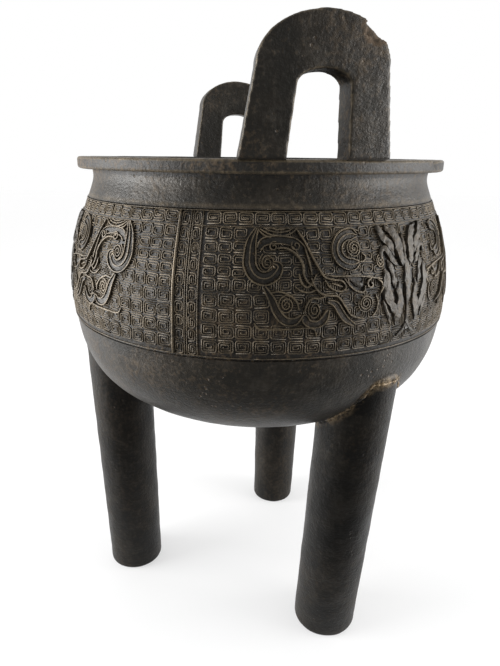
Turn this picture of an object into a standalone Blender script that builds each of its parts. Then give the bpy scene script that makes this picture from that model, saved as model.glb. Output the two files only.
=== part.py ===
"""Bronze ding: a round bowl cast in one with three columnar legs and two upright loop handles.

Metres, +Z up. The origin is on the floor under the bowl's axis. Azimuths are in degrees about
that axis: 0 faces -Y, the front, and they grow towards +X. Depths are measured down from the rim.
"""
import math

import bmesh
import bpy
import numpy as np
from mathutils import Vector

MM = 0.001

# Bowl
RIM_HEIGHT = 0.2168
RIM_RADIUS = 0.0800
LIP_THICKNESS = 0.0046
LIP_EDGE_ROUND = 0.0007
MOUTH_RADIUS = 0.0706
WALL = 0.0036
CAVITY_RISE = 0.0040
BOWL_STEPS = 56
# Radius and depth of the outer wall, from under the lip to the lowest point of the belly
NECK_TOP = (0.0742, 0.0046)
NECK_WAIST = (0.0742, 0.0090)
FRIEZE_TOP = (0.0768, 0.0164)
SHOULDER = (0.0812, 0.0285)
UPPER_BELLY = (0.0846, 0.0410)
WIDEST = (0.0860, 0.0560)
FRIEZE_FOOT = (0.0858, 0.0658)
LOWER_BELLY = (0.0832, 0.0800)
TURN = (0.0773, 0.0920)
UNDERSIDE = (0.0663, 0.1020)
BASE_EDGE = (0.0480, 0.1112)
BASE_MIDDLE = (0.0250, 0.1192)
BASE_POLE = (0.0, 0.1225)
GROOVE_HALF_WIDTH = 0.0006
GROOVE_DEPTH = 0.0006

# Legs: azimuth, distance of the foot's centre from the bowl's axis, foot radius
FRONT_LEG = (37.7, 0.0587, 0.0145)
LEFT_LEG = (-83.7, 0.0672, 0.0137)
REAR_LEG = (166.5, 0.0538, 0.0125)
LEG_TOP_REACH = 0.0694
LEG_TOP_RADIUS = 0.0154
LEG_TOP_DEPTH = 0.0770
LEG_TOP_ROUND = 0.0045
FOOT_ROUND = 0.0016
LEG_STEPS = 20

# Handles, which bend half as much as the rim and lean outwards
NEAR_HANDLE_AZIMUTH = 13.4
FAR_HANDLE_AZIMUTH = 190.4
HANDLE_PROUD = 0.0005
HANDLE_OUTER_RADIUS = RIM_RADIUS + HANDLE_PROUD
HANDLE_BEND_RADIUS = 2 * RIM_RADIUS
HANDLE_THICKNESS = 0.0094
HANDLE_LEAN = 6.8
HANDLE_HEIGHT = 0.0411
HANDLE_HALF_WIDTH = 0.0259
HANDLE_TAPER = 0.1895
HANDLE_SHOULDER = 0.0263
OPENING_HALF_WIDTH = 0.0104
OPENING_TAPER = 0.0953
OPENING_CROWN = 0.0045
NEAR_OPENING_HEIGHT = 0.0258
FAR_OPENING_HEIGHT = 0.0234
HANDLE_ROOT = 0.0040
HANDLE_ARC_POINTS = 9
HANDLE_SLICE = 0.0060

# The bite broken out of the near handle's right shoulder
CHIP_ACROSS = 0.0152
CHIP_UP = 0.0370
CHIP_INWARD = 0.0006
CHIP_SIZE = (0.0040, 0.0044, 0.0036)
CHIP_ROUGHNESS = (0.82, 1.08)
CHIP_SEED = 4

# Relief: heights above the wall, and how deep its roots go into the wall
MASK_AZIMUTHS = (39.5, -75.0, 162.0)
DIVIDER_AZIMUTHS = (-16.6, 100.8, 223.5)
DIVIDER_REACH = 0.0046
DIVIDER_HALF_WIDTH = 0.0007
DIVIDER_END_GAP = 0.0012
LOW_RELIEF = 0.0010
HIGH_RELIEF = 0.0016
DIVIDER_RELIEF = 0.0007
RELIEF_ROOT = 0.0012
FRIEZE_RADIUS = 0.0840
LOW_STEPS = 1
HIGH_STEPS = 2
EYE_SIDES = 8
EYE_TAPER = 0.7
SLOPE_PROBE = 0.001


def purge():
    for old in list(bpy.data.objects):
        bpy.data.objects.remove(old, do_unlink=True)


def collection(name):
    group = bpy.data.collections.new(name)
    bpy.context.scene.collection.children.link(group)
    return group


def bronze():
    material = bpy.data.materials.new("bronze_patina")
    material.use_nodes = True
    shader = material.node_tree.nodes["Principled BSDF"]
    shader.inputs["Base Color"].default_value = (0.055, 0.050, 0.042, 1.0)
    shader.inputs["Metallic"].default_value = 0.55
    shader.inputs["Roughness"].default_value = 0.52
    return material


def smooth_through(points, steps):
    """A Catmull-Rom curve through the points, with the ends repeated."""
    stops = [np.array(p, dtype=float) for p in points]
    stops = [2 * stops[0] - stops[1]] + stops + [2 * stops[-1] - stops[-2]]
    curve = []
    for a, b, c, d in zip(stops, stops[1:], stops[2:], stops[3:]):
        for k in range(steps):
            t = k / steps
            curve.append(0.5 * (2 * b + (c - a) * t + (2 * a - 5 * b + 4 * c - d) * t ** 2
                                + (3 * b - a - 3 * c + d) * t ** 3))
    curve.append(stops[-2])
    return curve


def arc(centre, across, tall, start, end, count, half_width):
    """Points on an ellipse, as (out, up, half width); angle 0 points away from the nose, 90 up."""
    points = []
    for k in range(count):
        turn = math.radians(start + (end - start) * k / (count - 1))
        points.append((centre[0] + across * math.cos(turn), centre[1] + tall * math.sin(turn),
                       half_width))
    return points


def tapered(points, tip):
    """The same points with both ends narrowed to tip."""
    first = points[0][:2] + (tip,)
    last = points[-1][:2] + (tip,)
    return [first] + list(points[1:-1]) + [last]


WALL_CURVE = [NECK_TOP, NECK_WAIST, FRIEZE_TOP, SHOULDER, UPPER_BELLY, WIDEST, FRIEZE_FOOT, LOWER_BELLY,
              TURN, UNDERSIDE, BASE_EDGE, BASE_MIDDLE, BASE_POLE]


def wall_radius(depth):
    depths = [point[1] for point in WALL_CURVE]
    radii = [point[0] for point in WALL_CURVE]
    return float(np.interp(depth, depths, radii))


def on_wall(azimuth, across, up, lift):
    """A point of the frieze: across along the wall, up from its foot, lift out from the wall."""
    depth = FRIEZE_FOOT[1] - up
    turn = math.radians(azimuth) + across / FRIEZE_RADIUS
    slope = (wall_radius(depth + SLOPE_PROBE) - wall_radius(depth - SLOPE_PROBE)) / (2 * SLOPE_PROBE)
    length = math.hypot(1.0, slope)
    radius = wall_radius(depth) + lift / length
    height = RIM_HEIGHT - depth + lift * slope / length
    return Vector((radius * math.sin(turn), -radius * math.cos(turn), height))


def bowl_outline():
    """Outer outline of the solid bowl, from the rim's centre out and down to the base's pole."""
    r, c = RIM_RADIUS, LIP_EDGE_ROUND
    outline = [(0.0, 0.0), (r - c, 0.0), (r, c), (r, LIP_THICKNESS - c), (r - c, LIP_THICKNESS)]
    for station in WALL_CURVE:
        radius, depth = station
        if station in (FRIEZE_TOP, FRIEZE_FOOT):
            outline.append((radius, depth - GROOVE_HALF_WIDTH))
            outline.append((radius - GROOVE_DEPTH, depth))
            outline.append((radius, depth + GROOVE_HALF_WIDTH))
        else:
            outline.append((radius, depth))
    return [(radius, RIM_HEIGHT - depth) for radius, depth in outline]


def cavity_outline():
    """The bowl's inside: the mouth, then the wall's curve moved in by the wall's thickness."""
    inner = [(0.0, -CAVITY_RISE), (MOUTH_RADIUS, -CAVITY_RISE), (MOUTH_RADIUS, NECK_WAIST[1])]
    for before, here, after in zip(WALL_CURVE[1:], WALL_CURVE[2:], WALL_CURVE[3:]):
        along = (Vector(after) - Vector(before)).normalized()
        inner.append((here[0] - WALL * along[1], here[1] + WALL * along[0]))
    inner.append((0.0, BASE_POLE[1] - WALL))
    return [(radius, RIM_HEIGHT - depth) for radius, depth in inner]


def profile_object(name, outline, steps, group):
    mesh = bpy.data.meshes.new(name)
    points = [(radius, 0.0, height) for radius, height in outline]
    mesh.from_pydata(points, [(k, k + 1) for k in range(len(points) - 1)], [])
    turned = bpy.data.objects.new(name, mesh)
    group.objects.link(turned)
    screw = turned.modifiers.new("turn", "SCREW")
    screw.steps = steps
    screw.render_steps = steps
    screw.use_merge_vertices = True
    screw.merge_threshold = 0.00001
    screw.use_smooth_shade = True
    return turned


def baked(source, group):
    """The evaluated shape as a plain closed mesh object in place of its source."""
    bpy.context.view_layer.update()
    graph = bpy.context.evaluated_depsgraph_get()
    mesh = bpy.data.meshes.new_from_object(source.evaluated_get(graph))
    result = bpy.data.objects.new(source.name + "_solid", mesh)
    result.matrix_world = source.matrix_world.copy()
    group.objects.link(result)
    bpy.data.objects.remove(source, do_unlink=True)
    form = bmesh.new()
    form.from_mesh(mesh)
    bmesh.ops.remove_doubles(form, verts=form.verts, dist=0.00001)
    bmesh.ops.recalc_face_normals(form, faces=form.faces)
    form.to_mesh(mesh)
    form.free()
    return result


def hide_guide(guide):
    guide.hide_render = True
    guide.display_type = "WIRE"


def recalc(mesh):
    form = bmesh.new()
    form.from_mesh(mesh)
    bmesh.ops.recalc_face_normals(form, faces=form.faces)
    form.to_mesh(mesh)
    form.free()


def rounded_corner(centre, radius, start, end, count=4):
    corner = []
    for k in range(count):
        turn = math.radians(start + (end - start) * k / (count - 1))
        corner.append((centre[0] + radius * math.cos(turn), centre[1] + radius * math.sin(turn)))
    return corner


def make_leg(name, azimuth, foot_reach, foot_radius, group):
    """A round column, turned and then leaned so that its foot stays level."""
    top = RIM_HEIGHT - LEG_TOP_DEPTH
    outline = [(0.0, top)]
    outline += rounded_corner((LEG_TOP_RADIUS - LEG_TOP_ROUND, top - LEG_TOP_ROUND), LEG_TOP_ROUND, 90, 0)
    outline += rounded_corner((foot_radius - FOOT_ROUND, FOOT_ROUND), FOOT_ROUND, 0, -90)
    outline += [(0.0, 0.0)]
    leg = baked(profile_object(name, outline, LEG_STEPS, group), group)
    lean = (LEG_TOP_REACH - foot_reach) / top
    outward = Vector((math.sin(math.radians(azimuth)), -math.cos(math.radians(azimuth)), 0.0))
    for vertex in leg.data.vertices:
        vertex.co += outward * (foot_reach + lean * vertex.co.z)
    hide_guide(leg)
    return leg


def handle_outline(opening_height):
    """The loop handle laid flat: across and up from the rim, feet rooted in the lip."""
    opening_shoulder = opening_height - OPENING_CROWN

    def side(half_width, taper, height):
        return half_width - taper * height

    def crown(half_width, shoulder, top, sign):
        points = []
        for k in range(HANDLE_ARC_POINTS):
            turn = math.pi * k / (HANDLE_ARC_POINTS - 1)
            points.append((sign * half_width * math.cos(turn), shoulder + (top - shoulder) * math.sin(turn)))
        return points

    outer = side(HANDLE_HALF_WIDTH, HANDLE_TAPER, HANDLE_SHOULDER)
    inner = side(OPENING_HALF_WIDTH, OPENING_TAPER, opening_shoulder)
    outline = [(OPENING_HALF_WIDTH, -HANDLE_ROOT), (HANDLE_HALF_WIDTH, -HANDLE_ROOT)]
    outline += [(HANDLE_HALF_WIDTH, 0.0)]
    outline += crown(outer, HANDLE_SHOULDER, HANDLE_HEIGHT, 1)
    outline += [(-HANDLE_HALF_WIDTH, 0.0), (-HANDLE_HALF_WIDTH, -HANDLE_ROOT)]
    outline += [(-OPENING_HALF_WIDTH, -HANDLE_ROOT), (-OPENING_HALF_WIDTH, 0.0)]
    outline += crown(inner, opening_shoulder, opening_height, -1)
    outline += [(OPENING_HALF_WIDTH, 0.0)]
    return outline


def handle_place(azimuth, across, up, inward):
    """A point of the bent handle, whose bend has its axis beyond the bowl's."""
    middle = math.radians(azimuth)
    back = HANDLE_OUTER_RADIUS - HANDLE_BEND_RADIUS
    radius = HANDLE_BEND_RADIUS - inward + math.tan(math.radians(HANDLE_LEAN)) * up
    turn = middle + across / HANDLE_BEND_RADIUS
    return Vector((back * math.sin(middle) + radius * math.sin(turn),
                   -back * math.cos(middle) - radius * math.cos(turn), RIM_HEIGHT + up))


def make_handle(name, azimuth, opening_height, group):
    """A flat pierced arch, sliced so that it can bend."""
    curve = bpy.data.curves.new(name, "CURVE")
    curve.dimensions = "2D"
    curve.fill_mode = "BOTH"
    curve.extrude = HANDLE_THICKNESS / 2
    outline = handle_outline(opening_height)
    spline = curve.splines.new("POLY")
    spline.points.add(len(outline) - 1)
    for point, place in zip(spline.points, outline):
        point.co = (place[0], place[1], 0.0, 1.0)
    spline.use_cyclic_u = True
    flat = bpy.data.objects.new(name, curve)
    group.objects.link(flat)
    handle = baked(flat, group)
    form = bmesh.new()
    form.from_mesh(handle.data)
    slices = int(HANDLE_HALF_WIDTH / HANDLE_SLICE)
    for k in range(-slices, slices + 1):
        everything = form.verts[:] + form.edges[:] + form.faces[:]
        bmesh.ops.bisect_plane(form, geom=everything, plane_co=(k * HANDLE_SLICE, 0, 0),
                               plane_no=(1, 0, 0), dist=0.00001)
    for vertex in form.verts:
        inward = HANDLE_THICKNESS / 2 - vertex.co.z
        vertex.co = handle_place(azimuth, vertex.co.x, vertex.co.y, inward)
    form.to_mesh(handle.data)
    form.free()
    recalc(handle.data)
    hide_guide(handle)
    return handle


def make_chip(group):
    """The cutter for the broken corner: a lump whose surface is roughened."""
    lump = bpy.data.meshes.new("chip")
    form = bmesh.new()
    bmesh.ops.create_icosphere(form, subdivisions=2, radius=1.0)
    noise = np.random.default_rng(CHIP_SEED)
    for vertex in form.verts:
        vertex.co *= noise.uniform(*CHIP_ROUGHNESS)
    bmesh.ops.scale(form, vec=CHIP_SIZE, verts=form.verts)
    form.to_mesh(lump)
    form.free()
    chip = bpy.data.objects.new("chip", lump)
    chip.location = handle_place(NEAR_HANDLE_AZIMUTH, CHIP_ACROSS, CHIP_UP, CHIP_INWARD)
    chip.rotation_euler = (0.0, 0.0, math.radians(NEAR_HANDLE_AZIMUTH))
    group.objects.link(chip)
    hide_guide(chip)
    return chip


def make_stroke(name, points, azimuth, side, relief, steps, group):
    """A raised band of the relief: a tapered square rail, laid along the wall with its top level."""
    path = smooth_through(points, steps)
    curve = bpy.data.curves.new(name, "CURVE")
    curve.dimensions = "3D"
    curve.twist_mode = "Z_UP"
    curve.bevel_depth = 1.0
    curve.bevel_resolution = 0
    curve.use_fill_caps = True
    spline = curve.splines.new("POLY")
    spline.points.add(len(path) - 1)
    for point, (out, up, half_width) in zip(spline.points, path):
        point.co = (out, up, 0.0, 1.0)
        point.radius = math.sqrt(2) * half_width
        point.tilt = math.radians(45)
    rail = bpy.data.objects.new(name, curve)
    group.objects.link(rail)
    stroke = baked(rail, group)
    for vertex in stroke.data.vertices:
        lift = relief if vertex.co.z > 0 else -RELIEF_ROOT
        vertex.co = on_wall(azimuth, side * vertex.co.x * MM, vertex.co.y * MM, lift)
    recalc(stroke.data)
    hide_guide(stroke)
    return stroke


# Half of the mask, in millimetres: (out from the nose line, up from the frieze's foot, half width)
def low_strokes():
    horn = [(58.6, 43.8, 0.4), (60.4, 39.2, 1.6)] + arc((55.8, 34.2), 4.8, 5.7, 0, -145, 5, 2.1)
    horn += [(52.4, 33.0, 0.7)]
    body = [(56.5, 40.2, 1.0), (50.5, 39.6, 1.4), (45.2, 38.8, 2.2), (41.6, 34.8, 2.4), (39.4, 30.0, 2.1),
            (37.2, 25.6, 1.7), (32.5, 21.8, 1.5), (28.3, 17.8, 1.4), (22.4, 12.8, 0.5)]
    claw = [(54.8, 25.0, 0.5), (52.2, 19.6, 1.3), (48.4, 14.8, 1.4), (43.8, 17.0, 0.5)]
    paw = tapered(arc((38.6, 17.4), 3.4, 4.2, 120, -80, 5, 1.2), 0.5)
    curl = tapered(arc((24.6, 36.9), 5.6, 4.9, 115, -120, 6, 1.5), 0.5)
    brow = [(35.4, 29.4, 0.4), (24.5, 28.3, 0.8), (14.2, 26.8, 0.4)]
    leaf = [(34.0, 27.6, 0.4), (30.6, 26.4, 1.0), (26.4, 23.0, 0.4)]
    lid = [(26.6, 26.4, 0.4), (23.8, 24.9, 1.1), (20.8, 24.4, 0.5)]
    return {"horn": horn, "body": body, "claw": claw, "paw": paw, "curl": curl, "brow": brow,
            "leaf": leaf, "lid": lid}


def high_strokes():
    hook = [(11.6, 43.6, 0.8), (9.4, 40.6, 1.7), (6.4, 39.4, 1.0)]
    feather = [(7.4, 42.2, 0.5), (5.0, 38.6, 1.8), (4.5, 34.2, 1.8), (3.8, 30.2, 0.5)]
    cowl = [(12.0, 34.8, 0.6), (10.0, 36.0, 1.2), (7.2, 33.6, 1.2), (4.8, 30.8, 0.5)]
    cheek = [(9.8, 29.2, 0.7), (10.3, 23.6, 2.1), (9.2, 18.0, 2.0), (6.8, 13.2, 0.6)]
    muzzle = [(5.4, 21.6, 0.6), (4.4, 16.6, 1.9), (4.4, 11.4, 1.8), (6.6, 7.6, 0.5)]
    return {"hook": hook, "feather": feather, "cowl": cowl, "cheek": cheek, "muzzle": muzzle}


NOSE = [(0.0, 31.0, 0.7), (0.0, 25.0, 1.5), (0.0, 14.0, 0.9), (0.0, 7.4, 1.2)]
EYE = (17.9, 25.1, 2.1)
FINER_STROKES = ("claw", "leaf", "lid", "brow")


def make_eye(name, azimuth, side, group):
    """A round boss."""
    mesh = bpy.data.meshes.new(name)
    form = bmesh.new()
    bmesh.ops.create_cone(form, cap_ends=True, segments=EYE_SIDES, radius1=EYE[2], radius2=EYE[2] * EYE_TAPER,
                          depth=2.0)
    for vertex in form.verts:
        lift = LOW_RELIEF if vertex.co.z > 0 else -RELIEF_ROOT
        vertex.co = on_wall(azimuth, side * (EYE[0] + vertex.co.x) * MM, (EYE[1] + vertex.co.y) * MM, lift)
    form.to_mesh(mesh)
    form.free()
    eye = bpy.data.objects.new(name, mesh)
    group.objects.link(eye)
    recalc(mesh)
    hide_guide(eye)
    return eye


def make_mask(index, azimuth, plain, group):
    for side, label in ((-1, "left"), (1, "right")):
        for name, points in low_strokes().items():
            if not plain or name not in FINER_STROKES:
                make_stroke(f"{name}_{label}_{index}", points, azimuth, side, LOW_RELIEF, LOW_STEPS, group)
        for name, points in high_strokes().items():
            make_stroke(f"{name}_{label}_{index}", points, azimuth, side, HIGH_RELIEF, HIGH_STEPS, group)
        make_eye(f"eye_{label}_{index}", azimuth, side, group)
    make_stroke(f"nose_{index}", NOSE, azimuth, 1, HIGH_RELIEF, HIGH_STEPS, group)


def make_divider(index, azimuth, group):
    """The two upright ribs of the seam between masks."""
    frieze = (FRIEZE_FOOT[1] - FRIEZE_TOP[1]) / MM
    half_width = DIVIDER_HALF_WIDTH / MM
    gap = DIVIDER_END_GAP / MM
    for side in (-1, 1):
        across = side * DIVIDER_REACH / MM
        points = [(across, up, half_width) for up in (gap, frieze / 2, frieze - gap)]
        make_stroke(f"divider_{index}_{side}", points, azimuth, 1, DIVIDER_RELIEF, LOW_STEPS, group)


def combine(target, operation, operands):
    boolean = target.modifiers.new(operation.lower(), "BOOLEAN")
    boolean.operation = operation
    boolean.solver = "EXACT"
    boolean.operand_type = "COLLECTION"
    boolean.collection = operands


def main():
    purge()
    parts = collection("bronze_ding")
    cast_on = collection("cast_on")
    cutters = collection("cutters")

    vessel = profile_object("ding_vessel", bowl_outline(), BOWL_STEPS, parts)
    vessel.data.materials.append(bronze())

    legs = {"front_leg": FRONT_LEG, "left_leg": LEFT_LEG, "rear_leg": REAR_LEG}
    for name, (azimuth, foot_reach, foot_radius) in legs.items():
        make_leg(name, azimuth, foot_reach, foot_radius, cast_on)
    make_handle("near_handle", NEAR_HANDLE_AZIMUTH, NEAR_OPENING_HEIGHT, cast_on)
    make_handle("far_handle", FAR_HANDLE_AZIMUTH, FAR_OPENING_HEIGHT, cast_on)
    for index, azimuth in enumerate(MASK_AZIMUTHS):
        make_mask(index, azimuth, azimuth == MASK_AZIMUTHS[-1], cast_on)
    for index, azimuth in enumerate(DIVIDER_AZIMUTHS):
        make_divider(index, azimuth, cast_on)

    cavity = baked(profile_object("cavity", cavity_outline(), BOWL_STEPS, cutters), cutters)
    hide_guide(cavity)
    make_chip(cutters)

    combine(vessel, "UNION", cast_on)
    combine(vessel, "DIFFERENCE", cutters)


main()
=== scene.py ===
import math
import random

import bpy
import numpy as np
from mathutils import Matrix, Vector, noise


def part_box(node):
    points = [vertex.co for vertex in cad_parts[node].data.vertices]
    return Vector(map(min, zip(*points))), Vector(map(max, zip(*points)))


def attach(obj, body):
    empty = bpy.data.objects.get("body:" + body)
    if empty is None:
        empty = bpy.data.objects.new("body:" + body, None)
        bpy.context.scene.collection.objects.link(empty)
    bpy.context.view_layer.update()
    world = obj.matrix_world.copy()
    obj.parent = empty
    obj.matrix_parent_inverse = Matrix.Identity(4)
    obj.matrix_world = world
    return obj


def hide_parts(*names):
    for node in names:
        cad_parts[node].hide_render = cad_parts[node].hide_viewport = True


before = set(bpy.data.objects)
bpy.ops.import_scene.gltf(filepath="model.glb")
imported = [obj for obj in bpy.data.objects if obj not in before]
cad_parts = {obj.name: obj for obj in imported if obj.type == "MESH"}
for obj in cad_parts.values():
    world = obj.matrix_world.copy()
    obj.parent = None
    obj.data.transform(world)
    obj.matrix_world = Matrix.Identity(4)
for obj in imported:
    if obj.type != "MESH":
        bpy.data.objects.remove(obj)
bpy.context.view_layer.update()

node = "ding_vessel"
mm = 0.001

# Lengths below are metres, and millimetres where a name ends in Mm or a list says so.
# Azimuths are degrees about the bowl's axis: 0 is the front, -Y, and they grow towards +X.

handle = {
    "near": (13.4, 0.0258), "far": (190.4, 0.0234), "proud": 0.0005, "bendRadius": 0.160, "thickness": 0.0094,
    "lean": 6.8, "height": 0.0411, "halfWidth": 0.0259, "taper": 0.1895, "shoulder": 0.0263,
    "openingHalfWidth": 0.0104, "openingTaper": 0.0953, "openingCrown": 0.0045, "root": 0.0040,
    "crownPoints": 25, "voxel": 0.00062, "soften": 0.5, "unevenness": 0.00014, "unevenSize": 0.006,
    "seed": 5, "footFlare": 0.0004, "flareSlope": 5,
    "footDarkening": 0.5, "footDarkeningReach": 0.002, "innerHalfWidth": 0.0115, "innerOver": 0.001, "innerShade": 0.6,
    "cornerTurn": (0.25, 0.93), "cornerFrom": 0.0012, "cornerWorn": 0.55,
}
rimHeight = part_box(node)[1][2] - handle["height"]

bowl = {
    "rimRadius": 0.0800, "lip": 0.0046, "lipRound": 0.0011, "mouthRadius": 0.0706, "wall": 0.0036,
    "stations": [(0.0742, 0.0048), (0.0742, 0.0090), (0.0768, 0.0164), (0.0812, 0.0285), (0.0846, 0.0410),
                 (0.0860, 0.0560), (0.0858, 0.0658), (0.0832, 0.0800), (0.0773, 0.0920), (0.0663, 0.1020),
                 (0.0480, 0.1112), (0.0250, 0.1192), (0.0, 0.1225)],
    "friezeTop": 0.0164, "friezeFoot": 0.0658, "grooveHalfWidth": 0.00045, "grooveDepth": 0.0007,
    "grooveShape": ((-1, 0), (-0.55, 0.8), (0, 1), (0.55, 0.8), (1, 0)), "mouthStraight": 0.0060,
    "turnSteps": 240, "stationSteps": 7, "cornerSteps": 4,
    "unevenness": 0.00010, "unevenSize": 0.011, "seed": 1,
    "nicks": ((56.5, 1.5, 0.0012), (59.2, 0.9, 0.0008), (-31.0, 0.8, 0.0004)),  # azimuth, width, bite
    "nickTo": 0.003, "nickFrom": 0.0775, "nickDrop": 0.6,
}

frieze = {
    "radius": 0.0840, "maskAzimuths": (39.5, -75.0, 162.0), "dividerAzimuths": (-16.6, 100.8, 223.5),
    "borderLineUp": 44.4, "topLineUp": 49.0, "topRingOver": 0.25, "footLineUp": 0.7, "slopeProbe": 0.001,
    # The last three numbers place the painted light that makes the frieze paler on its flanks than at its
    # darker front.
    "paintedShadeMiddle": 12, "paintedShadeReach": 25, "paintedLightOver": 35,
}


def catmull(points, steps):  # a smooth curve through the points
    stops = [np.array(p, dtype=float) for p in points]
    stops = [2 * stops[0] - stops[1]] + stops + [2 * stops[-1] - stops[-2]]
    curve = []
    for a, b, c, d in zip(stops, stops[1:], stops[2:], stops[3:]):
        for k in range(steps):
            t = k / steps
            curve.append(0.5 * (2 * b + (c - a) * t + (2 * a - 5 * b + 4 * c - d) * t ** 2
                                + (3 * b - a - 3 * c + d) * t ** 3))
    curve.append(stops[-2])
    return curve


def deselectAll():
    if bpy.context.object and bpy.context.object.mode != "OBJECT":
        bpy.ops.object.mode_set(mode="OBJECT")
    bpy.ops.object.select_all(action="DESELECT")


def pick(piece):
    deselectAll()
    piece.select_set(True)
    bpy.context.view_layer.objects.active = piece


def joinAll(pieces, name):
    if len(pieces) == 1:
        return pieces[0]
    deselectAll()
    for piece in pieces:
        piece.select_set(True)
    bpy.context.view_layer.objects.active = pieces[0]
    bpy.ops.object.join()
    joined = bpy.context.object
    joined.name = name
    joined.data.name = name
    return joined


def tidyNormals(piece):
    pick(piece)
    bpy.ops.object.mode_set(mode="EDIT")
    bpy.ops.mesh.select_all(action="SELECT")
    bpy.ops.mesh.remove_doubles(threshold=0.000005)
    bpy.ops.mesh.normals_make_consistent(inside=False)
    bpy.ops.object.mode_set(mode="OBJECT")


def smoothBy(piece, degrees):
    pick(piece)
    bpy.ops.object.shade_smooth_by_angle(angle=math.radians(degrees))


def turned(name, outline, steps):  # a profile drawn point by point, then spun about Z
    deselectAll()
    bpy.ops.mesh.primitive_plane_add(size=0.001, location=(0, 0, 0))
    piece = bpy.context.object
    piece.name = name
    bpy.ops.object.mode_set(mode="EDIT")
    bpy.ops.mesh.merge(type="CENTER")
    here = Vector((0, 0, 0))
    for k, (radius, height) in enumerate(outline):
        step = Vector((radius, 0, height)) - here
        if k == 0:
            bpy.ops.transform.translate(value=step)
        else:
            bpy.ops.mesh.extrude_vertices_move(TRANSFORM_OT_translate={"value": step})
        here += step
    bpy.ops.mesh.select_all(action="SELECT")
    bpy.ops.mesh.spin(steps=steps, angle=2 * math.pi, center=(0, 0, 0), axis=(0, 0, 1))
    bpy.ops.object.mode_set(mode="OBJECT")
    tidyNormals(piece)
    return piece


def drawn(name, settings, paths, cyclic):  # curves through (x, y, z, radius, tilt), turned into a mesh
    curve = bpy.data.curves.new(name, "CURVE")
    for key, value in settings.items():
        setattr(curve, key, value)
    for path in paths:
        spline = curve.splines.new("POLY")
        spline.points.add(len(path) - 1)
        for point, (x, y, z, radius, tilt) in zip(spline.points, path):
            point.co = (x, y, z, 1.0)
            point.radius = radius
            point.tilt = tilt
        spline.use_cyclic_u = cyclic
    piece = bpy.data.objects.new(name, curve)
    bpy.context.scene.collection.objects.link(piece)
    pick(piece)
    bpy.ops.object.convert(target="MESH")
    return piece


def places(piece):
    spots = np.empty(len(piece.data.vertices) * 3)
    piece.data.vertices.foreach_get("co", spots)
    return spots.reshape(-1, 3)


def putPlaces(piece, spots):
    piece.data.vertices.foreach_set("co", np.asarray(spots, dtype=float).ravel())
    piece.data.update()


def mark(piece, name, amounts):  # the dirt-and-shade amount, real dirt together with painted shade in hollows and under the lip, and the worn amount, real wear together with painted light on the frieze's flanks, run from 0 to 1 at each vertex
    layer = piece.data.attributes.get(name) or piece.data.attributes.new(name, "FLOAT", "POINT")
    spread = np.zeros(len(piece.data.vertices)) + np.asarray(amounts, dtype=float)
    layer.data.foreach_set("value", np.clip(spread, 0, 1))


def between(values, limits):
    return (values > limits[0]) & (values < limits[1])


def roughen(piece, amount, size, seed):  # a gentle casting unevenness along the normals
    shift = Vector((seed * 3.7, seed * 1.3, seed * 2.1))
    for vertex in piece.data.vertices:
        swell = noise.fractal(vertex.co / size + shift, 1.0, 2.0, 3)
        vertex.co += vertex.normal * (amount * swell)


wallCurve = catmull(bowl["stations"], bowl["stationSteps"])
wallDepths = np.array([p[1] for p in wallCurve])
wallRadii = np.array([p[0] for p in wallCurve])
order = np.argsort(wallDepths)
wallDepths, wallRadii = wallDepths[order], wallRadii[order]


def onWall(azimuth, acrossMm, upMm, lift):  # frieze places as arrays: along, up from its foot, out
    depth = bowl["friezeFoot"] - np.asarray(upMm) * mm
    turn = math.radians(azimuth) + np.asarray(acrossMm) * mm / frieze["radius"]
    probe = frieze["slopeProbe"]
    slope = (np.interp(depth + probe, wallDepths, wallRadii)
             - np.interp(depth - probe, wallDepths, wallRadii)) / (2 * probe)
    length = np.hypot(1.0, slope)
    radius = np.interp(depth, wallDepths, wallRadii) + lift / length
    height = rimHeight - depth + lift * slope / length
    return np.stack([radius * np.sin(turn), -radius * np.cos(turn), height], axis=-1)


def flankPaintedLight(azimuth):  # 0 at the front of the frieze, 1 on the flanks and behind, where painted light makes it paler
    away = np.abs((np.asarray(azimuth) - frieze["paintedShadeMiddle"] + 180) % 360 - 180)
    return np.clip((away - frieze["paintedShadeReach"]) / frieze["paintedLightOver"], 0, 1)


# The bowl: lip, neck, frieze ground, belly and inside

def lipCorner(radius, depth, start):
    r = bowl["lipRound"]
    corner = []
    for k in range(bowl["cornerSteps"] + 1):
        turn = math.radians(start - 90 * k / bowl["cornerSteps"])
        corner.append((radius + r * math.cos(turn), depth - r * math.sin(turn)))
    return corner


def bowlOutline():
    r = bowl["lipRound"]
    outside = lipCorner(bowl["rimRadius"] - r, r, 90) + lipCorner(bowl["rimRadius"] - r, bowl["lip"] - r, 0)
    for radius, depth in wallCurve:
        nearest = min((bowl["friezeTop"], bowl["friezeFoot"]), key=lambda groove: abs(groove - depth))
        if abs(nearest - depth) < 1e-6:
            for along, sink in bowl["grooveShape"]:
                outside.append((radius - sink * bowl["grooveDepth"], depth + along * bowl["grooveHalfWidth"]))
        else:
            outside.append((radius, depth))
    inside = []
    for before, here, after in zip(wallCurve, wallCurve[1:], wallCurve[2:]):
        along = (Vector(after) - Vector(before)).normalized()
        radius, depth = here[0] - bowl["wall"] * along[1], here[1] + bowl["wall"] * along[0]
        if here[1] > bowl["friezeTop"] * 0.9 and radius > 0.001:
            inside.append((radius, depth))
    inside = [(bowl["mouthRadius"] + r * 0.4, 0.0), (bowl["mouthRadius"], r * 0.6),
              (bowl["mouthRadius"], bowl["mouthStraight"])] + inside
    inside.append((0.0, bowl["stations"][-1][1] - bowl["wall"]))
    whole = inside[::-1] + outside
    return [(radius, rimHeight - depth) for radius, depth in whole]


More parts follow.
